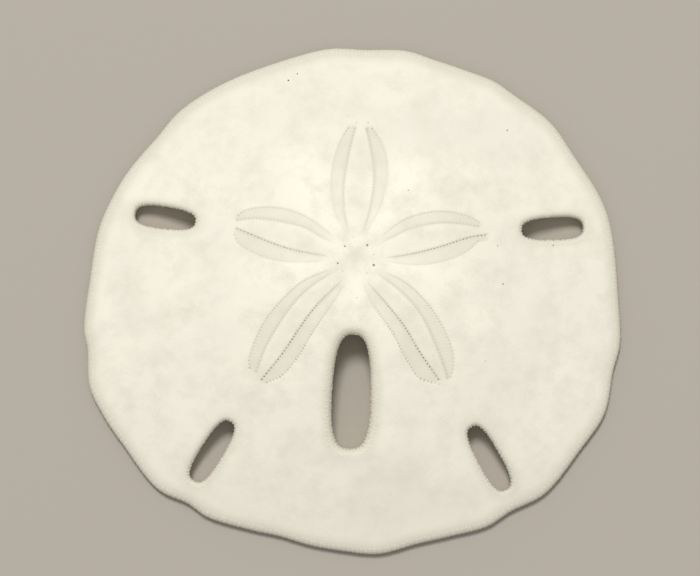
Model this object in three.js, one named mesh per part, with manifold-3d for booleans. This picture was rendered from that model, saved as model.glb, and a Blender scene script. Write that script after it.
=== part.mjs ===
// A keyhole sand dollar: the dry, bleached test of a flat sea urchin, lying petal side up.
// Millimetres. +Z is up and +Y points to the animal's front. The origin is on the table,
// under the middle of the test. The test grew as one piece, so it is one solid.
import * as THREE from 'three';
import { mergeVertices } from 'three/addons/utils/BufferGeometryUtils.js';
import Module from 'manifold-3d';

// Body
const HEIGHT = 9.0; // top of the dome
const RIM_THICKNESS = 2.1;
const RIM_REACH = 1.6; // how far in from the edge the rim's round starts
const DOME_EDGE = 2.2; // height of the dome there
const DOME_POWER = 1.7; // a low cone at 1, a round dome at 2
const APEX = [0.7, 6.8]; // where the petals meet, and the dome is highest
const UNDERSIDE_RISE = 0.7; // hollow of the underside, at its middle
const REST_START = 0.56; // the flat ring that it rests on starts this far out
const SEGMENTS = 96;

// The rim's soft corners and the flats between them: direction in degrees, distance from the origin.
const OUTLINE = [
  [0, 39.65], [15, 40.0], [22, 40.1], [33, 39.5], [42, 39.75], [52, 39.05], [57, 39.0], [63, 38.4],
  [71, 38.0], [78, 38.15], [87, 37.5], [95, 37.75], [105, 37.3], [120, 37.65], [132, 38.2],
  [140, 37.95], [150, 38.55], [157, 38.9], [164, 39.2], [175, 39.15], [186, 40.1], [190, 40.0],
  [198, 41.05], [205, 40.7], [212, 40.2], [224, 40.2], [231, 38.75], [236, 38.65], [246, 37.2],
  [253, 36.55], [260, 36.8], [268, 37.15], [276, 37.75], [285, 37.35], [293, 37.9], [301, 39.05],
  [307, 39.15], [315, 40.5], [327, 40.5], [336, 41.1], [345, 40.2], [351, 40.35],
];

// Lunules: the five slots that go through the test. The flare makes one end wider than the other:
// the end that the direction points to when it is positive.
const LUNULES = [
  { at: [-27.55, 12.35], length: 9.2, width: 3.35, direction: 172, flare: 0.06, lip: 0.7 },
  { at: [29.55, 10.75], length: 9.35, width: 3.45, direction: 3, flare: 0.07, lip: 0.7 },
  { at: [-20.65, -22.1], length: 10.55, width: 3.4, direction: 58, flare: -0.05, lip: 0.7 },
  { at: [20.2, -23.15], length: 10.9, width: 3.4, direction: 119, flare: -0.04, lip: 0.7 },
  { at: [-0.1, -13.25], length: 17.0, width: 5.75, direction: 88, flare: -0.08, lip: 1.3 },
];
const LUNULE_SQUARENESS = 2.8; // 2 is an ellipse, more is squarer
const LUNULE_POINTS = 24;
const UNDER_LIP = 0.5;

// Petals: two shallow bands of pores each. A band runs between an outer and an inner edge, given
// as [distance from the apex, distance to the left of the petal's axis].
const PETALS = [
  {
    direction: 88,
    bands: [
      { outer: [[5, 3.0], [10, 4.1], [14, 3.7], [19, 1.9]], inner: [[5, 1.9], [10, 2.3], [19, 0.9]] },
      { outer: [[5, -2.4], [10, -3.8], [14, -3.9], [19, -1.9]], inner: [[5, -1.2], [10, -2.1], [19, -0.8]] },
    ],
  },
  {
    direction: 167,
    bands: [
      { outer: [[5, 2.1], [10, 3.3], [15, 3.0], [18, 1.3]], inner: [[5, 1.2], [10, 1.2], [18, 0.1]] },
      { outer: [[5, -2.4], [10, -4.0], [14, -4.0], [18, -1.9]], inner: [[5, -1.2], [10, -2.3], [18, -1.2]] },
    ],
  },
  {
    direction: 10,
    bands: [
      { outer: [[5, 2.8], [10, 4.3], [14, 4.0], [18, 1.8]], inner: [[5, 1.5], [10, 2.7], [18, 1.1]] },
      { outer: [[5, -1.9], [10, -3.0], [14, -2.8], [18, -1.1]], inner: [[5, -1.3], [10, -1.1], [18, -0.2]] },
    ],
  },
  {
    direction: 231.5,
    bands: [
      { outer: [[5, 1.5], [10, 1.7], [17, 2.5], [21.5, 2.3]], inner: [[5, 0.6], [10, 0.0], [21.5, 0.5]] },
      { outer: [[5, -2.6], [10, -4.2], [15, -4.6], [21.5, -2.9]], inner: [[5, -1.3], [10, -2.8], [21.5, -1.2]] },
    ],
  },
  {
    direction: 305,
    bands: [
      { outer: [[5, 2.2], [10, 4.1], [15, 4.2], [21.5, 2.3]], inner: [[5, 1.1], [11, 2.6], [21.5, 0.7]] },
      { outer: [[5, -1.9], [10, -2.3], [17, -2.9], [21.5, -2.1]], inner: [[5, -1.0], [11, -0.4], [21.5, -0.7]] },
    ],
  },
];
const PETAL_BAND_DEPTH = 0.2;
const PETAL_BAND_STEPS = 6;

// Underside: the mouth, the vent by the rear lunule, and the food grooves that fork round the
// lunules. A groove runs from the mouth in a direction, and bows out to one side of it.
const MOUTH = { at: [0.6, 5.4], radius: 2.1, depth: 3.0 };
const VENT = { at: [0, -2.7], radius: 0.9, depth: 2.0 };
const PIT_POINTS = 18;
const GROOVES = [
  { direction: 90, length: 26, bow: 6.0 },
  { direction: 166, length: 33, bow: 5.5 },
  { direction: 11, length: 33, bow: 5.5 },
  { direction: 232, length: 38, bow: 6.0 },
  { direction: 304, length: 38, bow: 6.0 },
];
const GROOVE_WIDTH = 0.9;
const GROOVE_DEPTH = 0.25;
const GROOVE_STEPS = 6;

const CLEAR = 0.3; // how far a cutter stands out of the surface that it cuts

const wasm = await Module();
wasm.setup();

function polar([x, y], direction, distance) {
  const angle = THREE.MathUtils.degToRad(direction);
  return [x + distance * Math.cos(angle), y + distance * Math.sin(angle)];
}

// Points spaced evenly along a smooth curve through a few [x, y] points.
function smooth(points, steps, closed = false) {
  const curve = new THREE.CatmullRomCurve3(
    points.map(([x, y]) => new THREE.Vector3(x, y, 0)), closed, 'centripetal',
  );
  const spaced = curve.getSpacedPoints(steps).map(({ x, y }) => [x, y]);
  return closed ? spaced.slice(0, steps) : spaced;
}

const rim = smooth(OUTLINE.map(([direction, distance]) => polar([0, 0], direction, distance)), SEGMENTS, true);

// The rim as seen from the apex: how far off its round starts, by direction.
const rimFromApex = rim
  .map(([x, y]) => {
    const dx = x - APEX[0];
    const dy = y - APEX[1];
    return { angle: Math.atan2(dy, dx), reach: Math.hypot(dx, dy) - RIM_REACH };
  })
  .sort((a, b) => a.angle - b.angle);

// How far out a point is: 0 at the apex, 1 where the rim's round starts.
function fractionOut([x, y]) {
  const dx = x - APEX[0];
  const dy = y - APEX[1];
  const angle = Math.atan2(dy, dx);
  const next = rimFromApex.findIndex((point) => point.angle > angle);
  const high = rimFromApex[next < 0 ? 0 : next];
  const low = rimFromApex.at(next < 0 ? -1 : next - 1);
  const turn = 2 * Math.PI;
  const gap = (high.angle - low.angle + turn) % turn;
  const share = ((angle - low.angle + turn) % turn) / gap;
  return Math.hypot(dx, dy) / THREE.MathUtils.lerp(low.reach, high.reach, share);
}

const domeAt = (fraction) => DOME_EDGE + (HEIGHT - DOME_EDGE) * (1 - fraction ** DOME_POWER);

function undersideAt(fraction) {
  const inwards = Math.min(fraction / REST_START, 1);
  return UNDERSIDE_RISE * 0.5 * (1 + Math.cos(Math.PI * inwards));
}

const topHeight = (point) => domeAt(fractionOut(point));
const bottomHeight = (point) => undersideAt(fractionOut(point));

// A closed mesh through rings of [x, y, z] points. A ring of one point closes an end.
function loftedGeometry(rings) {
  const positions = rings.flat(2);
  const index = [];
  let start = 0;
  for (let k = 0; k + 1 < rings.length; k += 1) {
    const low = rings[k].length;
    const high = rings[k + 1].length;
    const sides = Math.max(low, high);
    for (let j = 0; j < sides; j += 1) {
      const a = start + (j % low);
      const b = start + ((j + 1) % low);
      const c = start + low + ((j + 1) % high);
      const d = start + low + (j % high);
      if (low > 1) index.push(a, b, c);
      if (high > 1) index.push(a, c, d);
    }
    start += low;
  }
  const geometry = new THREE.BufferGeometry();
  geometry.setAttribute('position', new THREE.Float32BufferAttribute(positions, 3));
  geometry.setIndex(index);
  return geometry;
}

function middleOf(ring) {
  const sum = ring.reduce((total, point) => total.map((value, i) => value + point[i]), [0, 0, 0]);
  return [sum.map((value) => value / ring.length)];
}

const closeEnds = (rings) => [middleOf(rings[0]), ...rings, middleOf(rings.at(-1))];

function solidFrom(geometry) {
  geometry.deleteAttribute('normal');
  geometry.deleteAttribute('uv');
  const merged = mergeVertices(geometry, 1e-4);
  return new wasm.Manifold(new wasm.Mesh({
    numProp: 3,
    vertProperties: merged.attributes.position.array,
    triVerts: new Uint32Array(merged.index.array),
  }));
}

// One ring of the body: every point the same fraction out, and the same distance past that.
function bodyRing(fraction, past, z) {
  return rim.map(([x, y]) => {
    const dx = x - APEX[0];
    const dy = y - APEX[1];
    const full = Math.hypot(dx, dy);
    const scale = (fraction * (full - RIM_REACH) + past) / full;
    return [APEX[0] + dx * scale, APEX[1] + dy * scale, z];
  });
}

function bodySolid() {
  const underside = [0.15, 0.3, 0.43, REST_START, 1].map((f) => bodyRing(f, 0, undersideAt(f)));
  const round = [-55, -20, 10, 38, 64].map((degrees) => {
    const angle = THREE.MathUtils.degToRad(degrees);
    return bodyRing(1, RIM_REACH * Math.cos(angle), (RIM_THICKNESS / 2) * (1 + Math.sin(angle)));
  });
  const dome = [0.97, 0.87, 0.77, 0.67, 0.55, 0.43, 0.31, 0.2, 0.1].map((f) => bodyRing(f, 0, domeAt(f)));
  const lowest = [[...APEX, undersideAt(0)]];
  const highest = [[...APEX, HEIGHT]];
  return solidFrom(loftedGeometry([lowest, ...underside, ...round, ...dome, highest]));
}

// A lunule's outline, a squarish ellipse, with the given spread added all round.
function lunuleOutline({ at, length, width, direction, flare }, spread) {
  const outline = [];
  for (let i = 0; i < LUNULE_POINTS; i += 1) {
    const angle = (2 * Math.PI * i) / LUNULE_POINTS;
    const power = 2 / LUNULE_SQUARENESS;
    const along = Math.sign(Math.cos(angle)) * Math.abs(Math.cos(angle)) ** power;
    const bulge = Math.sign(Math.sin(angle)) * Math.abs(Math.sin(angle)) ** power;
    const across = bulge * (1 + flare * along);
    const forward = polar(at, direction, along * (length / 2 + spread));
    outline.push(polar(forward, direction + 90, across * (width / 2 + spread)));
  }
  return outline;
}

// The lip's round, as [spread, depth below the surface]: from the wall up, and out of the body.
function lipProfile(lip) {
  const round = [0, 30, 60].map((degrees) => {
    const angle = THREE.MathUtils.degToRad(degrees);
    return [lip * (1 - Math.cos(angle)), lip * (1 - Math.sin(angle))];
  });
  const [spread, depth] = round.at(-1);
  return [...round, [spread + (depth + CLEAR) * Math.tan(Math.PI / 3), -CLEAR]];
}

function lunuleCutter(lunule) {
  const ring = (spread, heightOf) => lunuleOutline(lunule, spread).map((p) => [...p, heightOf(p)]);
  const lower = lipProfile(UNDER_LIP)
    .map(([spread, depth]) => ring(spread, (p) => bottomHeight(p) + depth))
    .reverse();
  const upper = lipProfile(lunule.lip)
    .map(([spread, depth]) => ring(spread, (p) => topHeight(p) - depth));
  return solidFrom(loftedGeometry(closeEnds([...lower, ...upper])));
}

// A shallow channel between two edges, cut down from the top (side 1) or up from below (side -1).
function channelCutter(leftEdge, rightEdge, depth, side) {
  const heightOf = side > 0 ? topHeight : bottomHeight;
  const rings = leftEdge.map((left, i) => {
    const right = rightEdge[i];
    const inset = (share) => left.map((value, k) => THREE.MathUtils.lerp(value, right[k], share));
    const lift = (point, height) => [...point, heightOf(point) + side * height];
    const ring = [lift(left, CLEAR), lift(right, CLEAR), lift(inset(0.7), -depth), lift(inset(0.3), -depth)];
    return side > 0 ? ring : ring.reverse();
  });
  return solidFrom(loftedGeometry(closeEnds(rings)));
}

function petalCutters({ direction, bands }) {
  const place = ([along, left]) => polar(polar(APEX, direction, along), direction + 90, left);
  return bands.map(({ outer, inner }) => {
    const edges = [outer, inner].map((edge) => smooth(edge, PETAL_BAND_STEPS).map(place));
    const outerIsLeft = outer[0][1] > inner[0][1];
    const [left, right] = outerIsLeft ? edges : edges.reverse();
    return channelCutter(left, right, PETAL_BAND_DEPTH, 1);
  });
}

function grooveCutters({ direction, length, bow }) {
  return [1, -1].map((hand) => {
    const start = polar(polar(MOUTH.at, direction, MOUTH.radius), direction + 90, hand * 0.7);
    const middle = polar(polar(MOUTH.at, direction, length / 2), direction + 90, hand * bow);
    const end = polar(polar(MOUTH.at, direction, length), direction + 90, hand * bow * 1.2);
    const line = smooth([start, middle, end], GROOVE_STEPS);
    const edge = (sign) => line.map((point, i) => {
      const before = line[Math.max(i - 1, 0)];
      const after = line[Math.min(i + 1, GROOVE_STEPS)];
      const heading = THREE.MathUtils.radToDeg(Math.atan2(after[1] - before[1], after[0] - before[0]));
      const taper = 1 - (0.6 * i) / GROOVE_STEPS;
      return polar(point, heading + 90, (sign * GROOVE_WIDTH * taper) / 2);
    });
    return channelCutter(edge(1), edge(-1), GROOVE_DEPTH, -1);
  });
}

// A round pit in the underside, with a bowl-shaped roof.
function pitCutter({ at, radius, depth }) {
  const rings = [[1.15, -CLEAR], [1, 0.3], [0.85, 0.6 * depth], [0.5, 0.92 * depth]].map(([scale, height]) =>
    Array.from({ length: PIT_POINTS }, (_, i) => {
      const point = polar(at, (360 * i) / PIT_POINTS, radius * scale);
      return [...point, bottomHeight(at) + height];
    }));
  return solidFrom(loftedGeometry(closeEnds(rings)));
}

function shellSolid() {
  const cutters = [
    ...LUNULES.map(lunuleCutter),
    ...PETALS.flatMap(petalCutters),
    ...GROOVES.flatMap(grooveCutters),
    pitCutter(MOUTH),
    pitCutter(VENT),
  ];
  return cutters.reduce((solid, cutter) => solid.subtract(cutter), bodySolid());
}

function shellMesh() {
  const { vertProperties, triVerts } = shellSolid().getMesh();
  const geometry = new THREE.BufferGeometry();
  geometry.setAttribute('position', new THREE.BufferAttribute(vertProperties, 3));
  geometry.setIndex(new THREE.BufferAttribute(triVerts, 1));
  geometry.computeBoundingBox();
  const middle = geometry.boundingBox.getCenter(new THREE.Vector3());
  geometry.translate(-middle.x, -middle.y, 0);
  geometry.computeVertexNormals();
  const material = new THREE.MeshStandardMaterial({ color: 0xf6f2e0, roughness: 0.9, metalness: 0 });
  const mesh = new THREE.Mesh(geometry, material);
  mesh.name = 'shell';
  return mesh;
}

const sandDollar = new THREE.Group();
sandDollar.add(shellMesh());

export default sandDollar;
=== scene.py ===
"""A keyhole sand dollar: the dry, bleached test of a flat sea urchin, petal side up, on a pale floor.

The test is drawn in millimetres, x to its left, y to its front and z up. Its top and its
underside are height fields, and round strips join them at the rim and in the five lunules.
Tubercles, the small knobs that carried its spines, stand on it as pieces of their own.
"""
import math

import bpy
import numpy as np
from mathutils.geometry import delaunay_2d_cdt
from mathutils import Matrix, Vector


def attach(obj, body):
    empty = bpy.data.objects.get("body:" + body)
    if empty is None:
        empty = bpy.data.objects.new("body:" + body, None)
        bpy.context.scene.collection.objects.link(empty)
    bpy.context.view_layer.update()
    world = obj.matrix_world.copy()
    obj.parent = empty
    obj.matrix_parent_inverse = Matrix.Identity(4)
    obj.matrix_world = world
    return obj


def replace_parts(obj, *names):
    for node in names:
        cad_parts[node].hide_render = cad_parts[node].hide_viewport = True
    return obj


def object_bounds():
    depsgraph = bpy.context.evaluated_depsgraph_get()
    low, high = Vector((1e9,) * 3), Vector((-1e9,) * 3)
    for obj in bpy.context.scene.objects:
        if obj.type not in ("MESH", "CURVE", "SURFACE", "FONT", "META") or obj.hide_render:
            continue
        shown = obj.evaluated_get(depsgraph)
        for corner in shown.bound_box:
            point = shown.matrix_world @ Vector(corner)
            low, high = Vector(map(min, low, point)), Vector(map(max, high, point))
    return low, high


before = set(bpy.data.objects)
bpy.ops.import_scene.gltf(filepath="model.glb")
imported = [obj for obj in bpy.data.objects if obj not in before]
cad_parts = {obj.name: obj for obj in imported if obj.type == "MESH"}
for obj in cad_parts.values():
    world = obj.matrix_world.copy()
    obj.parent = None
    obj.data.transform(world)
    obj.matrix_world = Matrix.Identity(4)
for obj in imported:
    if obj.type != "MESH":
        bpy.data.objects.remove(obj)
cad_low, cad_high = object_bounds()

MM = 0.001
TURN = 2 * math.pi

# ------ the shape, as the CAD part has it
HEIGHT = cad_high.z / MM
SKIN = 0.12  # room left inside the CAD box for the tubercles
APEX = np.array([0.7, 6.8])
RIM_THICKNESS = 2.1
RIM_REACH = 1.6  # how far in from the edge the rim's round starts
RIM_TOP = 64  # the round meets the dome at this angle above the horizontal
DOME_EDGE = 2.2  # height of the dome there
DOME_POWER = 1.7
UNDERSIDE_RISE = 0.7
REST_START = 0.56  # the share of the way out at which the underside reaches the ground

# The rim's soft corners and flats: direction in degrees and distance from the origin.
OUTLINE = [
    (0, 39.65), (15, 40.0), (22, 40.1), (33, 39.5), (42, 39.75), (52, 39.05), (57, 39.0), (63, 38.4),
    (71, 38.0), (78, 38.15), (87, 37.5), (95, 37.75), (105, 37.3), (120, 37.65), (132, 38.2),
    (140, 37.95), (150, 38.55), (157, 38.9), (164, 39.2), (175, 39.15), (186, 40.1), (190, 40.0),
    (198, 41.05), (205, 40.7), (212, 40.2), (224, 40.2), (231, 38.75), (236, 38.65), (246, 37.2),
    (253, 36.55), (260, 36.8), (268, 37.15), (276, 37.75), (285, 37.35), (293, 37.9), (301, 39.05),
    (307, 39.15), (315, 40.5), (327, 40.5), (336, 41.1), (345, 40.2), (351, 40.35),
]

LUNULES = [
    dict(at=(-27.55, 12.35), length=9.2, width=3.35, direction=172, flare=0.06, lip=0.7),
    dict(at=(29.55, 10.75), length=9.35, width=3.45, direction=3, flare=0.07, lip=0.7),
    dict(at=(-20.65, -22.1), length=10.55, width=3.4, direction=58, flare=-0.05, lip=0.7),
    dict(at=(20.2, -23.15), length=10.9, width=3.4, direction=119, flare=-0.04, lip=0.7),
    dict(at=(-0.1, -13.25), length=17.0, width=5.75, direction=88, flare=-0.08, lip=1.3),
]
LUNULE_SQUARENESS = 2.8
UNDER_LIP = 0.5

MOUTH = dict(at=(0.6, 5.4), radius=2.1, depth=3.0)
VENT = dict(at=(0.0, -2.7), radius=0.9, depth=2.0)
GROOVES = [
    dict(direction=90, length=26, bow=6.0),
    dict(direction=166, length=33, bow=5.5),
    dict(direction=11, length=33, bow=5.5),
    dict(direction=232, length=38, bow=6.0),
    dict(direction=304, length=38, bow=6.0),
]
GROOVE_WIDTH = 0.9
GROOVE_SPREAD = 0.62  # a groove ends this many widths to either side of its line
GROOVE_DEPTH = 0.22
GROOVE_GREY = 0.7

# ------ petals
# A petal is two bands of paired pores. Each band lies between an outer and an inner row of pores,
# and a row is a smooth curve through a few points [along the petal, to its left], measured from
# the apex. The open values say how open and dark the outer and the inner pores are, from 0 to 1.
# The darkness that the open values give is partly the pores' own brown and partly painted shade in their
# pits.
PETALS = [
    dict(direction=87.9, bands=[
        dict(outer=[(3.6, 2.0), (6, 3.4), (10, 4.1), (14, 3.75), (17.6, 2.55), (18.6, 1.9)],
             inner=[(2.6, 1.1), (6, 2.05), (10, 2.3), (14, 1.87), (18.6, 0.95)], open=(0.12, 0.3)),
        dict(outer=[(3.6, -1.4), (7, -3.1), (12, -4.05), (16, -3.3), (18.6, -1.6)],
             inner=[(2.6, -0.6), (7, -1.7), (11, -2.15), (14, -1.83), (18.6, -0.8)], open=(0.12, 0.35)),
    ]),
    dict(direction=167.2, bands=[
        dict(outer=[(4, 1.75), (8, 2.9), (12, 3.37), (15, 3.0), (17.4, 2.05), (18.1, 1.1)],
             inner=[(3.4, 1.1), (8.7, 1.33), (12, 1.1), (17.9, 0.1)], open=(0.25, 0.8)),
        dict(outer=[(4.2, -1.9), (8, -3.6), (12, -4.2), (16, -3.42), (17.8, -2.4), (18.2, -1.8)],
             inner=[(3.4, -0.8), (6, -1.5), (8, -2.17), (12, -2.33), (16, -1.87), (18.2, -1.12)],
             open=(0.25, 0.35)),
    ]),
    dict(direction=9.8, bands=[
        dict(outer=[(4.2, 2.2), (8, 3.92), (12, 4.3), (15, 3.7), (17.4, 2.55), (18.4, 1.65)],
             inner=[(3.4, 0.95), (8, 2.33), (12, 2.62), (16.2, 1.8), (18.2, 1.1)], open=(0.3, 0.35)),
        dict(outer=[(4.2, -1.75), (8, -2.85), (12, -3.08), (16, -2.22), (17.8, -1.05)],
             inner=[(3.4, -1.1), (7.5, -1.23), (12, -0.9), (17, -0.22), (19, -0.28)], open=(0.25, 0.85)),
    ]),
    dict(direction=231.5, bands=[
        dict(outer=[(4.6, 1.3), (8.4, 1.67), (12.9, 1.95), (17, 2.5), (20.6, 2.4), (22.8, 1.3)],
             inner=[(3.6, 0.75), (6, 0.4), (10, -0.05), (13.1, 0.05), (18, 0.45), (22.9, 0.43)],
             open=(0.6, 1.0)),
        dict(outer=[(4.6, -2.0), (8, -3.75), (12.3, -4.47), (15.7, -4.5), (19, -3.85), (21.9, -2.75),
                    (22.7, -2.0)],
             inner=[(3.6, -0.85), (7, -2.12), (10, -2.75), (13, -2.8), (18.6, -2.12), (22.5, -0.9)],
             open=(0.35, 0.4)),
    ]),
    dict(direction=305.3, bands=[
        dict(outer=[(4.6, 2.0), (8, 3.58), (12, 4.28), (16, 4.12), (20, 3.05), (21.9, 1.72), (22.5, 0.9)],
             inner=[(3.6, 0.65), (8, 2.13), (12.2, 2.62), (16.2, 2.08), (21.4, 0.75), (22.3, 0.4)],
             open=(0.4, 0.4)),
        dict(outer=[(4.6, -1.75), (6.9, -2.25), (12.25, -2.3), (17.2, -2.95), (20, -2.9), (22.4, -1.1)],
             inner=[(3.6, -1.1), (7.8, -0.65), (12.3, -0.37), (17, -0.7), (21.7, -0.73)],
             open=(0.6, 1.0)),
    ]),
]
PORE_PITCH = 0.46  # mean distance between the pores of an inner row
PITCH_GROWTH = (0.78, 1.2)  # a row's pores stand closer near the apex than at the tip
INNER_PORE = (0.09, 0.09)  # half widths along and across a row
OUTER_PORE = (0.07, 0.24)
PORE_DEPTH = 0.22
# painted shade in the pores' pits, on their own brown
PORE_DARK_WITH_SHADE = 0.85
OPENS_WITHIN = (1.0, 12.0)  # pores open up between these distances from the apex
BAND_START = (-0.3, 2.5)  # a band sets in between these distances past its first pore
BAND_END = (0.0, 0.6)  # and ends between these past its last
INNER_EDGE = (-0.22, 0.08)  # its floor sets in here, measured into it from its inner row
OUTER_EDGE = (-0.28, 0.06)  # and from its outer row
BAND_DEPTH = 0.06
ROW_GROOVE = 0.025
ROW_GROOVE_WIDTH = 0.14
OUTER_ROW_GROOVE = 0.5  # the outer row's share of the groove
CROSS_GROOVE = 0.015  # the faint grooves that join paired pores
PETAL_CROWN = 0.05  # how far the strip between the two inner rows bulges
PETAL_GREY = 0.3  # how grey that strip is
TIP_OPEN = 0.5  # the last pores of every row are at least this open
BAND_SHADE = 0.4  # how grey a band is
ROW_SHADE = 0.55  # and the line along an inner row
OUTER_ROW_SHADE = 0.3  # the outer row's share of that
ROW_SHADE_WIDTH = 0.3
LIP_SHADE_FADE = (-0.5, 0.8)  # where the painted shade round a lunule fades, measured from its lip
RIM_SHADE_FADE = (0.2, 2.3)  # and where the painted shade at the rim fades, measured inwards

GONOPORES = [((-1.06, 8.07), 0.14), ((2.21, 8.22), 0.19), ((-2.08, 5.6), 0.15), ((3.15, 5.31), 0.22)]
OCULAR_PORES = [(0.47, 8.65), (3.15, 6.84), (2.21, 4.15), (-1.35, 4.44), (-2.0, 6.98)]
MADREPORITE = dict(at=(0.5, 6.9), radius=1.5, rise=0.06, turn=52, rays=5, ray_length=0.3)

# Dark grains caught between the tubercles: place and size.
SPECKS = [
    (-8.1, 33.7, 0.14), (-9.4, 32.7, 0.17), (-14.3, 28.8, 0.08), (-12.7, 28.8, 0.07), (-14.6, 31.1, 0.07),
    (-0.6, 27.3, 0.09), (0.6, 26.3, 0.1), (2.34, 26.3, 0.11), (2.12, 25.2, 0.1), (-10.3, 20.4, 0.05),
    (22.9, 25.3, 0.14), (8.2, 16.3, 0.11), (32.2, 18.3, 0.07), (37.3, 10.3, 0.09), (29.6, 8.3, 0.13),
    (21.3, 8.2, 0.11), (22.1, 2.6, 0.14), (0.7, 0.6, 0.1), (17.5, -5.0, 0.08), (19.5, -8.7, 0.1),
]
GRAIN_DARK = 0.13  # a grain this large is as dark as they come

random = np.random.default_rng(20)


# ------ small helpers
def along(direction, distance):
    angle = np.radians(direction)
    return np.stack([distance * np.cos(angle), distance * np.sin(angle)], axis=-1)


def place_at(origin, direction, forward, left):
    """Points so far along a direction and to its left, from an origin."""
    return origin + along(direction, forward) + along(direction + 90, left)


def seen_along(origin, direction, points):
    """The opposite: how far points lie along a direction and to its left."""
    offset = points - origin
    return offset @ along(direction, 1.0), offset @ along(direction + 90, 1.0)


def ease(low, high, value):
    """0 below low, 1 above high, and a smooth rise between them."""
    share = np.clip((value - low) / (high - low), 0, 1)
    return share * share * (3 - 2 * share)


def bell(value, width):
    """1 where the value is 0, and close to 0 from two widths off."""
    return np.exp(-((value / width) ** 2))


def lengths(vectors):
    return np.linalg.norm(vectors, axis=-1)


def unit(vectors):
    return vectors / lengths(vectors)[:, None]


def run_of(points):
    """Distance along a line of points, from its first point to each."""
    return np.concatenate([[0], np.cumsum(lengths(np.diff(points, axis=0)))])


def smooth_curve(points, shares, closed=False):
    """Points on a centripetal Catmull-Rom curve, at the given shares of its length."""
    points = np.asarray(points, float)
    if closed:
        posts = np.vstack([points[-1], points, points[:2]])
    else:
        posts = np.vstack([2 * points[0] - points[1], points, 2 * points[-1] - points[-2]])
    t = np.linspace(0, 1, 24, endpoint=False)[:, None]
    dense = []
    for a, b, c, d in zip(posts, posts[1:], posts[2:], posts[3:]):
        before, here, after = (math.sqrt(lengths(q - p)) for p, q in ((a, b), (b, c), (c, d)))
        start = ((b - a) / before - (c - a) / (before + here) + (c - b) / here) * here
        end = ((c - b) / here - (d - b) / (here + after) + (d - c) / after) * here
        square = 3 * (c - b) - 2 * start - end
        cube = 2 * (b - c) + start + end
        dense.append(b + t * (start + t * (square + t * cube)))
    dense = np.vstack([*dense, posts[-2:-1]])
    run = run_of(dense)
    wanted = np.asarray(shares) * run[-1]
    return np.column_stack([np.interp(wanted, run, dense[:, k]) for k in (0, 1)])


GRID_HALF = 43  # more than half the test's width


def hexagon_grid(spacing, jitter=0.0):
    """Points at an even spacing over the whole test, each moved a little at random."""
    rows = np.arange(-GRID_HALF, GRID_HALF, spacing * math.sqrt(0.75))
    columns = np.arange(-GRID_HALF, GRID_HALF, spacing)
    x, y = np.meshgrid(columns, rows)
    x[1::2] += spacing / 2
    grid = np.column_stack([x.ravel(), y.ravel()])
    return grid + random.uniform(-jitter, jitter, grid.shape) * spacing


# ------ rim
RIM_POINTS = 640
rim_corners = [along(*corner) for corner in OUTLINE]
rim_line = smooth_curve(rim_corners, np.arange(RIM_POINTS) / RIM_POINTS, closed=True)
rim_far = lengths(rim_line - APEX) - SKIN
rim_out = (rim_line - APEX) / (rim_far + SKIN)[:, None]
rim_angle = np.arctan2(rim_out[:, 1], rim_out[:, 0])


def rim_distance(points):
    """Distance of points from the apex, and of the rim beyond them from the apex."""
    offset = points - APEX
    angle = np.arctan2(offset[:, 1], offset[:, 0])
    return lengths(offset), np.interp(angle, rim_angle, rim_far, period=TURN)


def fraction_out(points):
    """0 at the apex, 1 where the rim's round starts."""
    distance, rim = rim_distance(points)
    return distance / (rim - RIM_REACH)


def rim_shade_share(points):
    """Painted shade at the rim: 1 there, fading to 0 a little way in."""
    distance, rim = rim_distance(points)
    return 1 - ease(*RIM_SHADE_FADE, rim - distance)


# ------ lunules
LUNULE_SPACING = 0.3


def lunule_outline(lunule, spread, angles):
    """The outline of a lunule, a superellipse that flares to one end, made wider all round by spread."""
    power = 2 / LUNULE_SQUARENESS
    forward = np.sign(np.cos(angles)) * np.abs(np.cos(angles)) ** power
    bulge = np.sign(np.sin(angles)) * np.abs(np.sin(angles)) ** power
    side = bulge * (1 + lunule["flare"] * forward)
    forward = forward * (lunule["length"] / 2 + spread)
    return place_at(lunule["at"], lunule["direction"], forward, side * (lunule["width"] / 2 + spread))


def lunule_angles(lunule, spacing):
    """Angles that space the points of a lunule's outline evenly."""
    fine = np.linspace(0, TURN, 721)
    run = run_of(lunule_outline(lunule, 0, fine))
    count = int(run[-1] / spacing)
    return np.interp(np.arange(count) / count * run[-1], run, fine)


def lunule_share(lunule, points, spread):
    """Each point's distance from a lunule's middle, 1 on its outline made wider all round by spread."""
    forward, side = seen_along(lunule["at"], lunule["direction"], points)
    forward = forward / (lunule["length"] / 2 + spread)
    side = side / (lunule["width"] / 2 + spread) / (1 + lunule["flare"] * np.clip(forward, -1, 1))
    powers = np.abs(forward) ** LUNULE_SQUARENESS + np.abs(side) ** LUNULE_SQUARENESS
    return powers ** (1 / LUNULE_SQUARENESS)


def clear_of_lunules(points, lips, margin):
    """Whether points lie outside every lunule widened by so many lips and a margin."""
    shares = [lunule_share(lunule, points, lips * lunule["lip"] + margin) for lunule in LUNULES]
    return np.min(shares, axis=0) > 1


# ------ petals
def space_pores(band):
    """Adds to a band the places of its paired pores and its side of the petal."""
    even = np.linspace(0, 1, 60)
    band["inner_edge"] = smooth_curve(band["inner"], even)
    band["outer_edge"] = smooth_curve(band["outer"], even)
    count = int(run_of(band["inner_edge"])[-1] / PORE_PITCH)
    steps = np.linspace(*PITCH_GROWTH, count)
    shares = np.concatenate([[0], np.cumsum(steps)]) / steps.sum()
    band["inner_pores"] = smooth_curve(band["inner"], shares)
    band["outer_pores"] = smooth_curve(band["outer"], shares)
    band["side"] = np.sign(band["outer"][2][1] - band["inner"][2][1])


for petal in PETALS:
    for band in petal["bands"]:
        space_pores(band)


def across_band(band, forward, left):
    """How far points lie outside the inner row and inside the outer row of a band."""
    inner_left = np.interp(forward, *band["inner_edge"].T)
    outer_left = np.interp(forward, *band["outer_edge"].T)
    return (left - inner_left) * band["side"], (outer_left - left) * band["side"]


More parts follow.
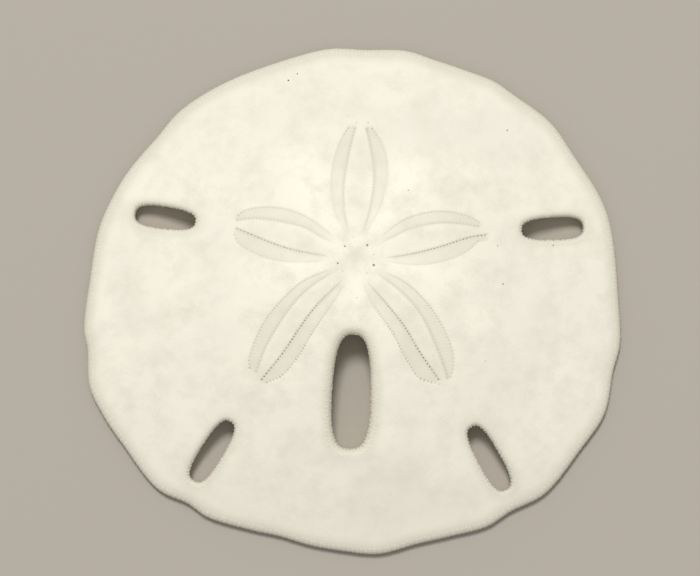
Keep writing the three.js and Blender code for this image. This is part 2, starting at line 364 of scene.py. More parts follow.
def band_relief(band, forward, left):
    """How deep a band lies below the dome, and how grey it is, most so along its rows."""
    from_inner, from_outer = across_band(band, forward, left)
    pores = band["inner_pores"][:, 0]
    ends = ease(*BAND_START, forward - pores[0]) * (1 - ease(*BAND_END, forward - pores[-1]))
    inside = ease(*INNER_EDGE, from_inner) * ease(*OUTER_EDGE, from_outer) * ends
    row = bell(from_inner, ROW_GROOVE_WIDTH) + OUTER_ROW_GROOVE * bell(from_outer, ROW_GROOVE_WIDTH)
    share = np.clip(from_inner / np.maximum(from_inner + from_outer, 0.1), 0, 1)
    numbers = np.arange(len(pores))
    number = (1 - share) * np.interp(forward, pores, numbers)
    number += share * np.interp(forward, band["outer_pores"][:, 0], numbers)
    groove = 0.5 + 0.5 * np.cos(TURN * number)
    depth = inside * (BAND_DEPTH + CROSS_GROOVE * groove) + ends * ROW_GROOVE * row
    lines = bell(from_inner, ROW_SHADE_WIDTH) + OUTER_ROW_SHADE * bell(from_outer, ROW_SHADE_WIDTH)
    shade = BAND_SHADE * (0.8 + 0.4 * ease(5, 15, forward))
    return depth, shade * inside + ROW_SHADE * ends * lines


def petal_crown(petal, forward, left):
    """The low bulge between a petal's two inner rows, from 0 to 1."""
    edges = [np.interp(forward, *band["inner_edge"].T) for band in petal["bands"]]
    across = (left - edges[1]) / np.maximum(edges[0] - edges[1], 0.3)
    tip = petal["bands"][0]["inner"][-1][0]
    ends = ease(3, 7, forward) * (1 - ease(tip - 2, tip, forward))
    return np.clip(4 * across * (1 - across), 0, 1) * ends


def petal_relief(points):
    """Height that the petals add to the dome, and how grey they make each point."""
    height = np.zeros(len(points))
    banded = np.zeros(len(points))
    for petal in PETALS:
        forward, left = seen_along(APEX, petal["direction"], points)
        near = (forward > 1) & (forward < 24) & (np.abs(left) < 7)  # no petal reaches past these
        forward, left = forward[near], left[near]
        crown = petal_crown(petal, forward, left)
        height[near] += PETAL_CROWN * crown
        banded[near] = np.maximum(banded[near], PETAL_GREY * crown)
        for band in petal["bands"]:
            depth, inside = band_relief(band, forward, left)
            height[near] -= depth
            banded[near] = np.maximum(banded[near], inside)
    return height, banded


def in_bands(points, margin):
    """Whether points lie in a band of pores, or within a margin of one."""
    found = np.zeros(len(points), bool)
    for petal in PETALS:
        forward, left = seen_along(APEX, petal["direction"], points)
        for band in petal["bands"]:
            from_inner, from_outer = across_band(band, forward, left)
            start, end = band["inner_pores"][[0, -1], 0]
            level = (forward > start - margin) & (forward < end + margin)
            found |= level & (from_inner > -margin) & (from_outer > -margin)
    return found


# ------ pores
def row_pores(places, across, size, opening):
    """The pores of one row, more open away from the apex and at the tip."""
    pores = []
    tips = TIP_OPEN * ease(0.8, 1.0, np.linspace(0, 1, len(places)))
    for place, heading, wide_open in zip(places, across, np.maximum(opening, tips)):
        openness = wide_open * ease(*OPENS_WITHIN, lengths(place - APEX))
        openness *= random.uniform(0.7, 1.15)
        grown = np.array(size) * (0.5 + 0.5 * openness) * random.uniform(0.9, 1.1)
        # the darkness is the pore's brown with painted shade in its pit
        pores.append((place, heading, grown, PORE_DEPTH * (0.1 + 0.9 * openness), PORE_DARK_WITH_SHADE * openness**1.7))
    return pores


def paired_pores():
    """Every pore of the petals: place, direction across the band, half widths, depth and darkness."""
    pores = []
    for petal in PETALS:
        for band in petal["bands"]:
            inner = place_at(APEX, petal["direction"], *band["inner_pores"].T)
            outer = place_at(APEX, petal["direction"], *band["outer_pores"].T)
            across = unit(outer - inner)
            outer_open, inner_open = band["open"]
            pores += row_pores(inner, across, INNER_PORE, inner_open)
            pores += row_pores(outer, across, OUTER_PORE, outer_open)
    return pores


def apical_pores():
    """The four large pores round the apex, and the five small ones between them."""
    heading = np.array([1.0, 0.0])
    oval = np.array([1.0, 0.85])
    # the last two values: depth, and a darkness that is partly painted shade in the pit
    large = [(np.array(at), heading, radius * oval, 0.35, 0.75) for at, radius in GONOPORES]
    small = [(np.array(at), heading, np.array([0.07, 0.07]), 0.15, 0.35) for at in OCULAR_PORES]
    return large + small


PORE_SIDES = 8
# From outside in, the rings of a pore: size, distance added to it, share of the depth, darkness. The
# darkness grows down the pit as painted shade on the pore's own brown.
PORE_RINGS = [(1.0, 0.06, 0.0, 0.0), (1.0, 0.0, 0.08, 0.15), (0.72, 0.0, 0.7, 0.7), (0.0, 0.0, 1.0, 1.0)]


def pore_mesh_points(pores):
    """Points of the pores' rings: place, depth below the surface and darkness, partly painted shade."""
    places, depths, darks = [], [], []
    turns = np.arange(PORE_SIDES) / PORE_SIDES * TURN
    for place, heading, size, depth, dark in pores:
        beside = np.array([-heading[1], heading[0]])
        for scale, wider, share, shade in PORE_RINGS:
            count = PORE_SIDES if scale else 1
            half_along, half_across = size * scale + wider
            ring = np.outer(np.cos(turns[:count]) * half_across, heading)
            ring += np.outer(np.sin(turns[:count]) * half_along, beside)
            places.append(place + ring)
            depths += [share * depth] * count
            darks += [shade * dark] * count
    return np.vstack(places), np.array(depths), np.array(darks)


def far_from(points, centres, distance):
    """Whether points are at least a distance from every centre."""
    clear = np.ones(len(points), bool)
    for centre in centres:
        near = np.flatnonzero(np.abs(points[:, 0] - centre[0]) < distance)
        gaps = lengths(points[near] - centre)
        clear[near[gaps < distance]] = False
    return clear


# ------ top surface
# Raised wedges between the petals: direction, half angle in degrees, height, where they fade.
WEDGES = [
    (127, 17, 0.22, 15), (49, 17, 0.22, 15), (200, 14, 0.22, 15), (338, 14, 0.22, 15),
    (268.5, 13, 0.34, 11),
]
WEDGE_START = (1.5, 5.0)
# Columns of plates: share of the way to the next petal, and how many steps further out it starts.
PLATE_COLUMNS = ((0.13, 0), (-0.13, 0.5), (0.37, 0.5), (0.63, 0))
PLATE_ROWS = 7
PLATES_FROM = 9.0
PLATE_PITCH = 4.6
PLATE_SEAM = 0.014
SEAM_WIDTH = 1.8
PLATE_STEP = 0.035
PLATE_SOFTNESS = 2.6
PLATE_TONE = 0.12
SEAM_TONE = 0.04
BASE_TONE = 0.37
BLEACHING = 0.45
WEDGE_HIGHLIGHT = 0.55  # a painted highlight that lightens the wedges, per millimetre of their height
END_PAINTED_SHADE = 0.22  # how much painted shade darkens the top towards its front and rear edges
END_SHADE_FROM = (14, 31)
STAR_GREY = 0.75
# painted shade on the lunules' lips
LIP_SHADE_GREY = 0.6
# painted shade at the rim
RIM_SHADE_GREY = 0.95
BLEACHED_WITHIN = (5.0, 24.0)  # full bleaching ends and cream begins, measured from the apex


def plate_centres():
    """The plates: two columns down each petal and two between petals, in alternate steps."""
    axes = sorted(petal["direction"] for petal in PETALS)
    centres = []
    for k, axis in enumerate(axes):
        gap = (axes[(k + 1) % 5] - axis) % 360
        for share, step in PLATE_COLUMNS:
            for row in range(PLATE_ROWS):
                far = PLATES_FROM + PLATE_PITCH * (row + step)
                centres.append(APEX + along(axis + share * gap, far))
    centres = np.array(centres)
    return centres + random.normal(0, 0.1 * PLATE_PITCH, centres.shape)


plates = plate_centres()
plate_shade = random.normal(0, 1, len(plates))


def plate_relief(points):
    """1 on the seams between plates, and each point's share of its plates' own height."""
    gaps = np.hypot(*(points[:, None, k] - plates[None, :, k] for k in (0, 1)))
    nearest = np.partition(gaps, 1, axis=1)
    seam = 1 - ease(0.0, SEAM_WIDTH, nearest[:, 1] - nearest[:, 0])
    weight = bell(gaps, PLATE_SOFTNESS)
    step = weight @ plate_shade / np.maximum(weight.sum(axis=1), 1e-6)
    return seam, step


def wedge_relief(points):
    """Height that the wedges between the petals add."""
    offset = points - APEX
    distance = lengths(offset)
    angle = np.degrees(np.arctan2(offset[:, 1], offset[:, 0]))
    height = np.zeros(len(points))
    for direction, half_angle, rise, fade in WEDGES:
        turn = (angle - direction + 180) % 360 - 180
        length = ease(*WEDGE_START, distance) * (1 - ease(0.6 * fade, 1.6 * fade, distance))
        height += rise * length * bell(turn, half_angle)
    return height


def star_distance(points):
    """Distance from the middle of the madreporite, a low star, as a share of its radius."""
    offset = points - MADREPORITE["at"]
    turn = np.arctan2(offset[:, 1], offset[:, 0]) - math.radians(MADREPORITE["turn"])
    reach = 1 + MADREPORITE["ray_length"] * np.cos(MADREPORITE["rays"] * turn)
    return lengths(offset) / MADREPORITE["radius"] / reach


def lip_shade_share(points):
    """Painted shade on the lips of the lunules: 1 there, fading to 0 outside them."""
    share = np.zeros(len(points))
    for lunule in LUNULES:
        lip = lunule["lip"]
        beyond = (lunule_share(lunule, points, lip) - 1) * (lunule["width"] / 2 + lip)
        share = np.maximum(share, 1 - ease(*LIP_SHADE_FADE, beyond))
    return share


def top_surface(points):
    """Height of the top without its pores, how grey each point is, with painted shade at the rim and on
    the lunules' lips, and how bleached, with a painted highlight on the wedges and painted shade at the
    front and rear.
    """
    fraction = fraction_out(points)
    dome = (HEIGHT - SKIN - DOME_EDGE) * (1 - np.clip(fraction, 0, 1.2) ** DOME_POWER)
    petals, banded = petal_relief(points)
    seam, step = plate_relief(points)
    plated = ease(0.25, 0.6, fraction) * (1 - ease(0.93, 1.0, fraction))
    star = star_distance(points)
    wedges = wedge_relief(points)
    height = DOME_EDGE + dome + petals + wedges
    height += plated * (PLATE_STEP * step - PLATE_SEAM * seam)
    height += MADREPORITE["rise"] * bell(star, 1)
    bleached = 1 - ease(*BLEACHED_WITHIN, lengths(points - APEX))
    # the wedges are painted lighter with their height: a painted highlight
    tone = BASE_TONE + BLEACHING * bleached + WEDGE_HIGHLIGHT * wedges
    tone += plated * (PLATE_TONE * step - SEAM_TONE * seam)
    # painted shade towards the front and rear edges
    tone -= END_PAINTED_SHADE * ease(*END_SHADE_FROM, np.abs(points[:, 1]))
    # painted shade on the lunules' lips and at the rim, which the band mark carries
    edges = np.maximum(LIP_SHADE_GREY * lip_shade_share(points), RIM_SHADE_GREY * rim_shade_share(points))
    grey = np.maximum(np.maximum(banded, STAR_GREY * bell(star, 1)), edges)
    return np.minimum(height, HEIGHT - SKIN), grey, tone


# ------ underside
# Side twigs of a groove: the point of its line where one starts, and its length.
TWIGS = [(30, 6.0), (39, 5.0), (47, 4.0)]
GROOVE_POINTS = 60
TWIG_POINTS = 20


def groove_line(groove, hand):
    """One of a petal's two food grooves, which bow out to either hand."""
    forward = np.array([0.9 * MOUTH["radius"], groove["length"] / 2, groove["length"]])
    left = hand * np.array([0.5, groove["bow"], 1.2 * groove["bow"]])
    corners = place_at(MOUTH["at"], groove["direction"], forward, left)
    return smooth_curve(corners, np.linspace(0, 1, GROOVE_POINTS))


def twig_line(line, k, reach, hand):
    """A twig that leaves a groove's line at its point k."""
    step = line[k + 1] - line[k]
    heading = math.degrees(math.atan2(step[1], step[0]))
    knee = line[k] + along(heading + 22 * hand, 0.5 * reach)
    tip = line[k] + along(heading + 30 * hand, reach)
    return smooth_curve([line[k], knee, tip], np.linspace(0, 1, TWIG_POINTS))


def groove_lines():
    """The food grooves, two to a petal, and their side twigs, as lines with a width at each point."""
    lines = []
    for groove in GROOVES:
        for hand in (1, -1):
            line = groove_line(groove, hand)
            lines.append((line, GROOVE_WIDTH * np.linspace(1, 0.45, GROOVE_POINTS)))
            for k, reach in TWIGS:
                widths = GROOVE_WIDTH * np.linspace(0.5, 0.2, TWIG_POINTS)
                lines.append((twig_line(line, k, reach, hand), widths))
    return lines


grooves = groove_lines()


def groove_share(points):
    """0 off the grooves and 1 on the floor of a full one."""
    share = np.zeros(len(points))
    for line, widths in grooves:
        around = (points > line.min(axis=0) - 1) & (points < line.max(axis=0) + 1)
        near = np.flatnonzero(around.all(axis=1))
        if not len(near):
            continue
        gaps = lengths(points[near, None] - line[None])
        width = widths[gaps.argmin(axis=1)]
        floor = 1 - ease(0, GROOVE_SPREAD, gaps.min(axis=1) / width)
        floor *= (width / GROOVE_WIDTH) ** 0.7
        share[near] = np.maximum(share[near], floor)
    return share


def under_surface(points):
    """Height of the underside, and how much of a groove each point is."""
    outwards = np.clip(fraction_out(points) / REST_START, 0, 1)
    grooved = groove_share(points)
    hollow = UNDERSIDE_RISE * 0.5 * (1 + np.cos(math.pi * outwards))
    return SKIN + hollow + GROOVE_DEPTH * grooved, grooved


OPENING_RINGS = (0.3, 0.6, 0.72, 0.8, 0.87, 0.94, 1.0, 1.08, 1.15)
PIT_WALL = (0.72, 1.1)  # a pit's wall rises between these shares of its radius
# painted shade in the pits of the mouth and the vent: shares of the radius over which it fades, and how
# dark it gets
PIT_SHADE = (0.6, 1.0)
PIT_PAINTED_SHADE = 0.8


def opening_rings(opening, shares, sides):
    """Rings of points in and round the mouth or the vent, at shares of its radius."""
    turns = np.arange(sides) / sides * TURN
    circle = np.column_stack([np.cos(turns), np.sin(turns)])
    return np.vstack([opening["at"] + circle * opening["radius"] * share for share in shares])


def opening_height(points):
    """How far the pits of the mouth and the vent rise into the test, and how much painted shade darkens
    them.
    """
    height = np.zeros(len(points))
    dark = np.zeros(len(points))
    for opening in (MOUTH, VENT):
        share = lengths(points - opening["at"]) / opening["radius"]
        height += opening["depth"] * (1 - ease(*PIT_WALL, share))
        dark = np.maximum(dark, PIT_PAINTED_SHADE * (1 - ease(*PIT_SHADE, share)))
    return height, dark


def off_openings(points):
    """The points that lie clear of the mouth and the vent."""
    for opening in (MOUTH, VENT):
        points = points[far_from(points, [opening["at"]], 1.25 * opening["radius"])]
    return points


# ------ the shell's mesh
class Surface:
    """Vertices, what the material reads at each, their places in the two flat charts, and triangles."""

    def __init__(self):
        self.places, self.marks, self.flats = [], [], []
        self.faces, self.charts = [], []
        self.count = 0

    def add(self, places, marks, flat_top, flat_under=None):
        """Adds vertices and returns their numbers. Each chart's flat places keep its texture even."""
        self.places.append(places)
        self.marks.append(marks)
        self.flats.append(np.stack([flat_top, flat_top if flat_under is None else flat_under], axis=1))
        self.count += len(places)
        return np.arange(self.count - len(places), self.count)

    def triangles(self, faces, chart):
        self.faces.append(faces)
        self.charts.append(np.full(len(faces), chart))

    def strip(self, lower, upper, chart):
        """Joins two rings of vertices that turn counter-clockwise, to face away from their middle."""
        next_lower, next_upper = np.roll(lower, -1), np.roll(upper, -1)
        self.triangles(np.column_stack([lower, next_lower, next_upper]), chart)
        self.triangles(np.column_stack([lower, next_upper, upper]), chart)


TOP_CHART, UNDER_CHART = 0, 1


def fill(points, loop_sizes):
    """Delaunay triangles over points that start with closed loops: the rim, then the holes."""
    loop_of = np.full(len(points), -1)
    edges = []
    first = 0
    for k, size in enumerate(loop_sizes):
        ring = np.arange(first, first + size)
        edges += np.column_stack([ring, np.roll(ring, -1)]).tolist()
        loop_of[ring] = k
        first += size
    found = delaunay_2d_cdt(points.tolist(), edges, [], 0, 1e-6, True)
    source = np.array([ids[0] for ids in found[3]])
    faces = source[np.array(found[2])]
    loops = loop_of[faces]
    outside = (loops[:, 0] >= 0) & (loops == loops[:, :1]).all(axis=1)
    return faces[~outside]


# pore: darkness of grains and pores, with painted shade in pits; band: grey of the pore bands, with
# painted shade at the rim and lips; tone: how light the skin is
def marks_of(pore, band, tone):
    """The three values that the material reads, one row for each vertex."""
    return np.column_stack(np.broadcast_arrays(pore, band, tone)).astype(float)


lunule_turns = [lunule_angles(lunule, LUNULE_SPACING) for lunule in LUNULES]


def add_sheet(surface, loops, points, height, marks, chart):
    """Adds a height field over points that start with its loops, and returns their vertex numbers."""
    numbers = surface.add(np.column_stack([points, height]), marks, points)
    sizes = [len(loop) for loop in loops]
    order = 1 if chart == TOP_CHART else -1
    surface.triangles(numbers[fill(points, sizes)[:, ::order]], chart)
    return np.split(numbers[:sum(sizes)], np.cumsum(sizes)[:-1])


def loops_of(spreads):
    """The closed loops that bound the top or the underside: the rim's round and the lunules."""
    loops = [APEX + rim_out * (rim_far - RIM_REACH)[:, None]]
    for lunule, spread, angles in zip(LUNULES, spreads, lunule_turns):
        loops.append(lunule_outline(lunule, spread, angles))
    return loops


pores = paired_pores() + apical_pores()
pore_centres = np.array([pore[0] for pore in pores])
TOP_SPACING = 0.5
BAND_SPACING = 0.21
BAND_MARGIN = 0.45  # the fine mesh of a band goes this far beyond it
PORE_MARGIN = 0.28  # no free point lies nearer to a pore than this
UNDER_SPACING = 0.6


def top_points():
    """Points of the top within its loops, wide apart on the plates, close in the bands, in rings in
    the pores: place, depth below the surface and darkness."""
    wide = hexagon_grid(TOP_SPACING, jitter=0.12)
    wide = wide[(fraction_out(wide) < 0.992) & clear_of_lunules(wide, 1, 0.2)]
    wide = wide[~in_bands(wide, BAND_MARGIN)]
    close = hexagon_grid(BAND_SPACING, jitter=0.1)
    close = close[in_bands(close, BAND_MARGIN)]
    free = np.vstack([wide, close])
    free = free[far_from(free, pore_centres, PORE_MARGIN)]
    rings, depths, darks = pore_mesh_points(pores)
    level = np.zeros(len(free))
    return np.vstack([free, rings]), np.concatenate([level, depths]), np.concatenate([level, darks])


def add_top(surface):
    """Adds the top surface and returns the vertex numbers of its loops."""
    loops = loops_of([lunule["lip"] for lunule in LUNULES])
    free, depths, darks = top_points()
    points = np.vstack([*loops, free])
    height, grey, tone = top_surface(points)
    height[-len(free):] -= depths
    pore = np.concatenate([np.zeros(len(points) - len(free)), darks])
    return add_sheet(surface, loops, points, height, marks_of(pore, grey, tone), TOP_CHART)


def under_points():
    """Free points of the underside: even, with lines along the grooves and rings in the openings."""
    lines = [hexagon_grid(UNDER_SPACING, jitter=0.1)]
    for line, widths in grooves:
        step = unit(np.gradient(line, axis=0))
        beside = np.column_stack([-step[:, 1], step[:, 0]])
        for share in (-GROOVE_SPREAD, -0.3, 0, 0.3, GROOVE_SPREAD):
            lines.append(line + beside * (widths * share)[:, None])
    points = off_openings(np.vstack(lines))
    mouth = opening_rings(MOUTH, OPENING_RINGS, 40)
    vent = opening_rings(VENT, OPENING_RINGS[1:], 24)
    points = np.vstack([points, mouth, vent, [MOUTH["at"], VENT["at"]]])
    return points[(fraction_out(points) < 0.99) & clear_of_lunules(points, 0, UNDER_LIP + 0.22)]


def add_underside(surface):
    """Adds the underside and returns the vertex numbers of its loops."""
    loops = loops_of([UNDER_LIP] * len(LUNULES))
    points = np.vstack([*loops, under_points()])
    height, grooved = under_surface(points)
    rise, dark = opening_height(points)
    # the pits' darkness, painted shade, goes into the pore mark
    marks = marks_of(dark, GROOVE_GREY * grooved, BASE_TONE)
    return add_sheet(surface, loops, points, height + rise, marks, UNDER_CHART)


def charted(flats, past_seam):
    """Flat places of a row in the two charts. Only the row on their seam lies in both."""
    top, under = flats
    if past_seam:
        return (top, top) if past_seam < 0 else (under, under)
    return top, under


RIM_ROWS = np.radians([RIM_TOP, 52, 40, 28, 16, 4, -8, -20, -34, -50, -70])
RIM_SEAM = 6  # the row on which the top chart meets the underside's


def rim_row(angle):
    """Distance out from the start of the round, and height, of a row of the rim."""
    out = RIM_REACH * np.cos(angle)
    return out, SKIN + (RIM_THICKNESS - SKIN) / 2 * (1 + np.sin(angle))


def add_rim(surface, top_loop, under_loop):
    """Joins the top to the underside round the rim."""
    start = rim_far - RIM_REACH
    outs, heights = rim_row(RIM_ROWS)
    profile = np.column_stack([[0, *outs, 0], [DOME_EDGE, *heights, SKIN]])
    from_top = run_of(profile)[1:]
    from_under = run_of(profile[::-1])[-2::-1]
    upper = top_loop
    for k, (out, height) in enumerate(zip(outs, heights)):
        flat = APEX + rim_out * (start + out)[:, None]
        places = np.column_stack([flat, np.full(RIM_POINTS, height)])
        flats = [APEX + rim_out * (start + reach)[:, None] for reach in (from_top[k], from_under[k])]
        marks = marks_of(0, *top_surface(flat)[1:])
        row = surface.add(places, marks, *charted(flats, k - RIM_SEAM))
        surface.strip(row, upper, TOP_CHART if k <= RIM_SEAM else UNDER_CHART)
        upper = row
    surface.strip(under_loop, upper, UNDER_CHART)


LIP_ROWS = np.radians([75, 60, 45, 30, 15, 0])
WALL_ROWS = (0.25, 0.5, 0.75)
WALL_SEAM = 0.5
WALL_INSET = 0.9  # the walls' share of a lunule's half width in the flat charts


def add_lunule(surface, lunule, angles, top_loop, under_loop):
    """The lip, the wall and the lower lip of one lunule."""
    lip = lunule["lip"]
    edge = lunule_outline(lunule, 0, angles)
    height, grey, tone = top_surface(edge)
    above = height - lip
    below = under_surface(edge)[0] + UNDER_LIP
    rows = []
    for angle in LIP_ROWS:
        points = lunule_outline(lunule, lip * (1 - np.cos(angle)), angles)
        height = top_surface(points)[0] - lip * (1 - np.sin(angle))
        rows.append((points, height, [points], TOP_CHART))
    inset = WALL_INSET * lunule["width"] / 2
    for share in WALL_ROWS:
        flats = [lunule_outline(lunule, -inset * way, angles) for way in (share, 1 - share)]
        chart = TOP_CHART if share <= WALL_SEAM else UNDER_CHART
        rows.append((edge, above + (below - above) * share, charted(flats, share - WALL_SEAM), chart))
    for angle in LIP_ROWS[::-2]:  # every other row is enough for the smaller lower lip
        points = lunule_outline(lunule, UNDER_LIP * (1 - np.cos(angle)), angles)
        height = under_surface(points)[0] + UNDER_LIP * (1 - np.sin(angle))
        rows.append((points, height, [points], UNDER_CHART))
    upper = top_loop
    for points, height, flats, chart in rows:
        row = surface.add(np.column_stack([points, height]), marks_of(0, grey, tone), *flats)
        surface.strip(upper, row, chart)
        upper = row
    surface.strip(upper, under_loop, UNDER_CHART)


# ------ tubercles
class Knobs(Surface):
    """Low pyramids that stand on the test, gathered into one mesh."""

    def __init__(self, sides):
        super().__init__()
        self.sides = sides

    def stand(self, centres, normals, radii, rises, flats, chart, marks):
        """Stands a knob on each centre, square to its normal."""
        count = len(centres)
        aside = unit(np.cross(normals, [0.36, 0.48, 0.8]))
        beside = np.cross(normals, aside)
        turns = np.arange(self.sides) / self.sides * TURN + random.uniform(0, TURN, count)[:, None]
        wide = radii[:, None, None]
        ring = np.cos(turns)[..., None] * aside[:, None] + np.sin(turns)[..., None] * beside[:, None]
        foot = (centres - KNOB_SINK * normals)[:, None] + wide * ring
        places = np.concatenate([foot, (centres + rises[:, None] * normals)[:, None]], axis=1)
        flat_ring = wide * np.stack([np.cos(turns), np.sin(turns)], axis=-1)
        flat = np.concatenate([flats[:, None] + flat_ring, flats[:, None]], axis=1)
        marks = np.repeat(marks, self.sides + 1, axis=0)
        numbers = self.add(places.reshape(-1, 3), marks, flat.reshape(-1, 2)).reshape(count, -1)
        for k in range(self.sides):
            following = (k + 1) % self.sides
            faces = np.column_stack([numbers[:, k], numbers[:, following], numbers[:, -1]])
            self.triangles(faces, chart)


KNOB_SINK = 0.015
ABORAL_KNOBS = dict(pitch=0.5, radius=(0.09, 0.14), rise=(0.02, 0.035))
RIM_KNOBS = dict(pitch=0.62, radius=(0.14, 0.21), rise=(0.06, 0.115))
LIP_KNOBS = dict(pitch=0.5, radius=(0.14, 0.22), rise=(0.05, 0.12))
ORAL_KNOBS = dict(pitch=0.72, radius=(0.17, 0.24), rise=(0.07, 0.115))
RIM_KNOB_ROWS = range(55, -80, -18)  # degrees above the horizontal
LIP_KNOB_ROWS = (72, 45, 20, 2)
STEEP_ROW = 30  # the knobs of the rows below this stand out further into a lunule


def stand_on_top(points):
    """Places of points on the top, its normals there and what the material reads there."""
    step = 0.05
    here, grey, tone = top_surface(points)
    slope_x = (top_surface(points + [step, 0])[0] - here) / step
    slope_y = (top_surface(points + [0, step])[0] - here) / step
    normals = unit(np.column_stack([-slope_x, -slope_y, np.ones(len(points))]))
    return np.column_stack([points, here]), normals, marks_of(0, grey, tone)


def aboral_knobs():
    """Fine knobs over the top, and the dark grains caught among them."""
    knobs = Knobs(6)
    points = hexagon_grid(ABORAL_KNOBS["pitch"], jitter=0.22)
    points = points[(fraction_out(points) < 0.995) & clear_of_lunules(points, 1, 0.05)]
    points = points[~in_bands(points, 0.12)]
    points = points[far_from(points, pore_centres[-len(GONOPORES) - len(OCULAR_PORES):], 0.4)]
    places, normals, marks = stand_on_top(points)
    outer = ease(0.3, 1.0, fraction_out(points))
    radii = random.uniform(*ABORAL_KNOBS["radius"], len(points)) * (0.85 + 0.3 * outer)
    rises = random.uniform(*ABORAL_KNOBS["rise"], len(points)) * (0.8 + 0.5 * outer)
    knobs.stand(places, normals, radii, rises, points, TOP_CHART, marks)
    x, y, radii = np.transpose(SPECKS)
    grains = np.column_stack([x, y])
    places, normals, _ = stand_on_top(grains)
    marks = marks_of(np.minimum(radii / GRAIN_DARK, 1), 0, 0)
    knobs.stand(places, normals, radii, 0.5 * radii, grains, TOP_CHART, marks)
    return knobs


def rim_knobs():
    """The knobs round the rim, which make its edge look finely saw-toothed."""
    knobs = Knobs(6)
    count = int(TURN * rim_far.mean() / RIM_KNOBS["pitch"])
    columns = np.arange(count) + random.uniform(-0.22, 0.22, count)
    for degrees in RIM_KNOB_ROWS:
        turns = (columns + random.uniform(-0.08, 0.08, count)) / count * TURN
        tilt = np.radians(degrees + random.uniform(-6, 6, count))
        out, height = rim_row(tilt)
        far = np.interp(turns, rim_angle, rim_far, period=TURN) - RIM_REACH + out
        heading = np.column_stack([np.cos(turns), np.sin(turns)])
        places = np.column_stack([APEX + heading * far[:, None], height])
        level = np.cos(tilt) / RIM_REACH
        upright = np.sin(tilt) / (RIM_THICKNESS / 2)
        normals = unit(np.column_stack([heading * level[:, None], upright]))
        chart = TOP_CHART if degrees > -5 else UNDER_CHART
        arc = RIM_REACH * (math.radians(RIM_TOP) - tilt if chart == TOP_CHART else tilt + math.pi / 2)
        flats = APEX + heading * (far - out + 0.75 * arc)[:, None]
        radii = random.uniform(*RIM_KNOBS["radius"], count)
        rises = random.uniform(*RIM_KNOBS["rise"], count)
        knobs.stand(places, normals, radii, rises, flats, chart, marks_of(0, *top_surface(flats)[1:]))
    return knobs


def lip_knobs():
    """The knobs round the lips of the lunules."""
    knobs = Knobs(6)
    for lunule in LUNULES:
        angles = lunule_angles(lunule, LIP_KNOBS["pitch"])
        count = len(angles)
        lip = lunule["lip"]
        for degrees in LIP_KNOB_ROWS:
            tilt = np.radians(degrees + random.uniform(-8, 8, count))
            turns = angles + random.uniform(-0.3, 0.3, count) * TURN / count
            spread = lip * (1 - np.cos(tilt))
            points = lunule_outline(lunule, spread, turns)
            outwards = unit(lunule_outline(lunule, spread + 0.1, turns) - points)
            height, grey, tone = top_surface(points)
            places = np.column_stack([points, height - lip * (1 - np.sin(tilt))])
            normals = np.column_stack([-outwards * np.cos(tilt)[:, None], np.sin(tilt)])
            radii = random.uniform(*LIP_KNOBS["radius"], count)
            rises = random.uniform(*LIP_KNOBS["rise"], count) * (1.7 if degrees < STEEP_ROW else 1)
            knobs.stand(places, normals, radii, rises, points, TOP_CHART, marks_of(0, grey, tone))
    return knobs


def oral_knobs():
    """Coarser knobs over the underside, on which the test rests, off the food grooves."""
    knobs = Knobs(8)
    points = hexagon_grid(ORAL_KNOBS["pitch"], jitter=0.2)
    points = points[(fraction_out(points) < 0.99) & clear_of_lunules(points, 0, UNDER_LIP + 0.25)]
    points = off_openings(points[groove_share(points) < 0.02])
    height = under_surface(points)[0]
    normals = np.tile([0.0, 0.0, -1.0], (len(points), 1))
    radii = random.uniform(*ORAL_KNOBS["radius"], len(points))
    rises = random.uniform(*ORAL_KNOBS["rise"], len(points))
    marks = marks_of(np.zeros(len(points)), 0, BASE_TONE)
    knobs.stand(np.column_stack([points, height]), normals, radii, rises, points, UNDER_CHART, marks)
    return knobs


# ------ pieces
CHART_CENTRES = np.array([[0.36, 0.36], [0.774, 0.774]])
CHART_RADII = np.array([0.355, 0.22])
CHART_REACH = 43.6  # the flat distance that a chart's radius stands for

rim_middle = (rim_line.max(axis=0) + rim_line.min(axis=0)) / 2
rim_half = np.ptp(rim_line, axis=0) / 2
cad_half = np.array([cad_high.x - cad_low.x, cad_high.y - cad_low.y]) / MM / 2
fit = (cad_half - SKIN) / (rim_half - SKIN)


def to_frame(places):
    """Drawn millimetres to metres in the frame, with the rim just inside the CAD box."""
    level = (places[:, :2] - rim_middle) * fit
    return np.column_stack([level, places[:, 2]]) * MM


def chart_places(flats, faces, charts):
    """Texture places of every face corner. The underside's chart is turned over."""
    corners = flats[faces, charts[:, None]] - rim_middle
    corners[charts == UNDER_CHART, :, 0] *= -1
    scale = (CHART_RADII / CHART_REACH)[charts]
    return CHART_CENTRES[charts][:, None] + corners * scale[:, None, None]


def make_piece(name, surface, material):
    """A surface as a piece of the test, with its marks as attributes and its charts as its UV map."""
    stacks = (surface.places, surface.marks, surface.flats, surface.faces, surface.charts)
    places, marks, flats, faces, charts = map(np.concatenate, stacks)
    mesh = bpy.data.meshes.new(name)
    mesh.from_pydata(to_frame(places), [], faces)
    for label, values in zip(("pore", "band", "tone"), marks.T):
        attribute = mesh.attributes.new(label, "FLOAT", "POINT")
        attribute.data.foreach_set("value", np.ascontiguousarray(values, dtype=np.float32))
    uv_map = mesh.uv_layers.new(name="OFBake")
    corners = chart_places(flats, faces, charts).astype(np.float32)
    uv_map.uv.foreach_set("vector", corners.ravel())
    mesh.shade_smooth()
    mesh.materials.append(material)
    piece = bpy.data.objects.new(name, mesh)
    bpy.context.collection.objects.link(piece)
    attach(piece, "root")
    return piece


# ------ material
BLEACHED = (0.90, 0.88, 0.762, 1)
CREAM = (0.77, 0.745, 0.65, 1)
CREAM_DARK = (0.705, 0.68, 0.583, 1)
